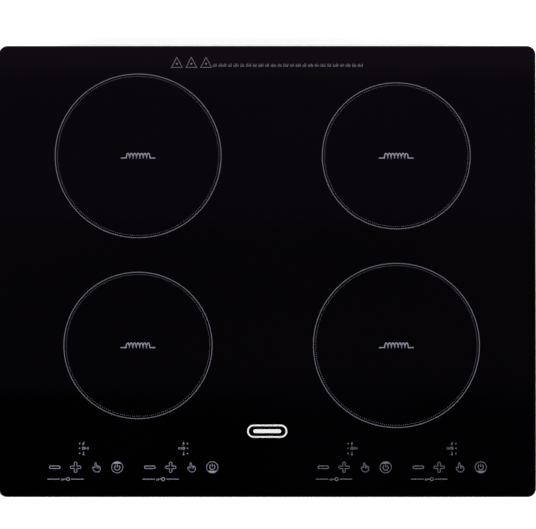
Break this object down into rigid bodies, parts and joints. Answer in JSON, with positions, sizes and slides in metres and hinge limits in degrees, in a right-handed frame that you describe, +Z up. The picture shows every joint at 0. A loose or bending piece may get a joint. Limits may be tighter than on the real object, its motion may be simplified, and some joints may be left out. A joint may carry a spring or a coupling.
{
  "type": "electric induction cooktop",
  "caption": "Built-in induction cooktop: a black glass plate on a stepped steel tray that holds coils, power boards, fans and touch controls, with swing-out clamps below.",
  "frame": {"origin": "centre of the bounding box's underside, which is the tray's flat underside", "axes": "+X to the user's right, +Y to the rear, +Z up out of the glass"},
  "size_m": [0.6, 0.51, 0.058],
  "materials": {
    "glass_black": "polished, opaque black",
    "seal_foam": "closed-cell foam",
    "adhesive_silicone": "satin",
    "housing_steel": "galvanised, matt",
    "deck_aluminium": "mill finish",
    "former_plastic": "moulded, fine grain",
    "litz_copper": "varnished strands",
    "ferrite": "sintered, matt",
    "mica": "flaky, satin",
    "sensor_silicone": "moulded, matt",
    "spring_steel": "rolled",
    "circuit_board": "solder mask, satin",
    "heat_sink_aluminium": "extruded",
    "transistor_black": "moulded, matt",
    "capacitor_case": "moulded, satin",
    "choke_copper": "enamelled wire",
    "fan_plastic": "moulded, satin",
    "terminal_plastic": "moulded, fine grain",
    "gland_plastic": "moulded, matt",
    "ribbon_grey": "satin",
    "clamp_zinc": "zinc plated"
  },
  "bodies": {
    "root": {"glass_top": "glass_black", "perimeter_seal": "seal_foam", "glass_adhesive": "adhesive_silicone", "housing_tray": "housing_steel", "tray_frame": "housing_steel", "coil_deck": "deck_aluminium", "mica_sheet": "mica", "touch_carrier": "former_plastic", "filter_board": "circuit_board", "filter_choke": "choke_copper", "terminal_box": "terminal_plastic", "terminal_block": "terminal_plastic", "cable_gland": "gland_plastic", "coil_former_rear_left": "former_plastic", "litz_winding_rear_left": "litz_copper", "ferrite_set_rear_left": "ferrite", "sensor_plug_rear_left": "sensor_silicone", "support_spring_rear_left": "spring_steel", "coil_former_rear_right": "former_plastic", "litz_winding_rear_right": "litz_copper", "ferrite_set_rear_right": "ferrite", "sensor_plug_rear_right": "sensor_silicone", "support_spring_rear_right": "spring_steel", "coil_former_front_left": "former_plastic", "litz_winding_front_left": "litz_copper", "ferrite_set_front_left": "ferrite", "sensor_plug_front_left": "sensor_silicone", "support_spring_front_left": "spring_steel", "coil_former_front_right": "former_plastic", "litz_winding_front_right": "litz_copper", "ferrite_set_front_right": "ferrite", "sensor_plug_front_right": "sensor_silicone", "support_spring_front_right": "spring_steel", "power_board_left": "circuit_board", "heat_sink_left": "heat_sink_aluminium", "transistor_set_left": "transistor_black", "resonant_capacitor_rear_left": "capacitor_case", "resonant_capacitor_front_left": "capacitor_case", "fan_frame_left": "fan_plastic", "touch_board_left": "circuit_board", "ribbon_cable_left": "ribbon_grey", "power_board_right": "circuit_board", "heat_sink_right": "heat_sink_aluminium", "transistor_set_right": "transistor_black", "resonant_capacitor_rear_right": "capacitor_case", "resonant_capacitor_front_right": "capacitor_case", "fan_frame_right": "fan_plastic", "touch_board_right": "circuit_board", "ribbon_cable_right": "ribbon_grey"},
    "fan_rotor_left": {"fan_rotor_left": "fan_plastic"},
    "fan_rotor_right": {"fan_rotor_right": "fan_plastic"},
    "clamp_screw_rear_left": {"clamp_screw_rear_left": "clamp_zinc"},
    "clamp_screw_rear_right": {"clamp_screw_rear_right": "clamp_zinc"},
    "clamp_screw_front_left": {"clamp_screw_front_left": "clamp_zinc"},
    "clamp_screw_front_right": {"clamp_screw_front_right": "clamp_zinc"},
    "clamp_bracket_rear_left": {"clamp_bracket_rear_left": "clamp_zinc"},
    "clamp_bracket_rear_right": {"clamp_bracket_rear_right": "clamp_zinc"},
    "clamp_bracket_front_left": {"clamp_bracket_front_left": "clamp_zinc"},
    "clamp_bracket_front_right": {"clamp_bracket_front_right": "clamp_zinc"},
    "terminal_cover": {"terminal_cover": "terminal_plastic"}
  },
  "joints": [
    {"name": "fan_spin_left", "type": "hinge", "parent": "root", "child": "fan_rotor_left", "pos_m": [-0.1662, 0.1602, 0.015], "axis": [0, 0, 1], "continuous": true},
    {"name": "fan_spin_right", "type": "hinge", "parent": "root", "child": "fan_rotor_right", "pos_m": [0.1662, 0.1602, 0.015], "axis": [0, 0, 1], "continuous": true},
    {"name": "clamp_travel_rear_left", "type": "slide", "parent": "root", "child": "clamp_screw_rear_left", "axis": [0, 0, 1], "range_m": [-0.015, 0]},
    {"name": "clamp_swing_rear_left", "type": "hinge", "parent": "clamp_screw_rear_left", "child": "clamp_bracket_rear_left", "pos_m": [-0.266, 0.15, 0.0225], "axis": [0, 0, -1], "range_deg": [0, 90]},
    {"name": "clamp_travel_rear_right", "type": "slide", "parent": "root", "child": "clamp_screw_rear_right", "axis": [0, 0, 1], "range_m": [-0.015, 0]},
    {"name": "clamp_swing_rear_right", "type": "hinge", "parent": "clamp_screw_rear_right", "child": "clamp_bracket_rear_right", "pos_m": [0.266, 0.15, 0.0225], "axis": [0, 0, 1], "range_deg": [0, 90]},
    {"name": "clamp_travel_front_left", "type": "slide", "parent": "root", "child": "clamp_screw_front_left", "axis": [0, 0, 1], "range_m": [-0.015, 0]},
    {"name": "clamp_swing_front_left", "type": "hinge", "parent": "clamp_screw_front_left", "child": "clamp_bracket_front_left", "pos_m": [-0.266, -0.15, 0.0225], "axis": [0, 0, 1], "range_deg": [0, 90]},
    {"name": "clamp_travel_front_right", "type": "slide", "parent": "root", "child": "clamp_screw_front_right", "axis": [0, 0, 1], "range_m": [-0.015, 0]},
    {"name": "clamp_swing_front_right", "type": "hinge", "parent": "clamp_screw_front_right", "child": "clamp_bracket_front_right", "pos_m": [0.266, -0.15, 0.0225], "axis": [0, 0, -1], "range_deg": [0, 90]},
    {"name": "cover_swing", "type": "hinge", "parent": "root", "child": "terminal_cover", "pos_m": [0, 0.166, 0.0028], "axis": [-1, 0, 0], "range_deg": [0, 100]}
  ]
}
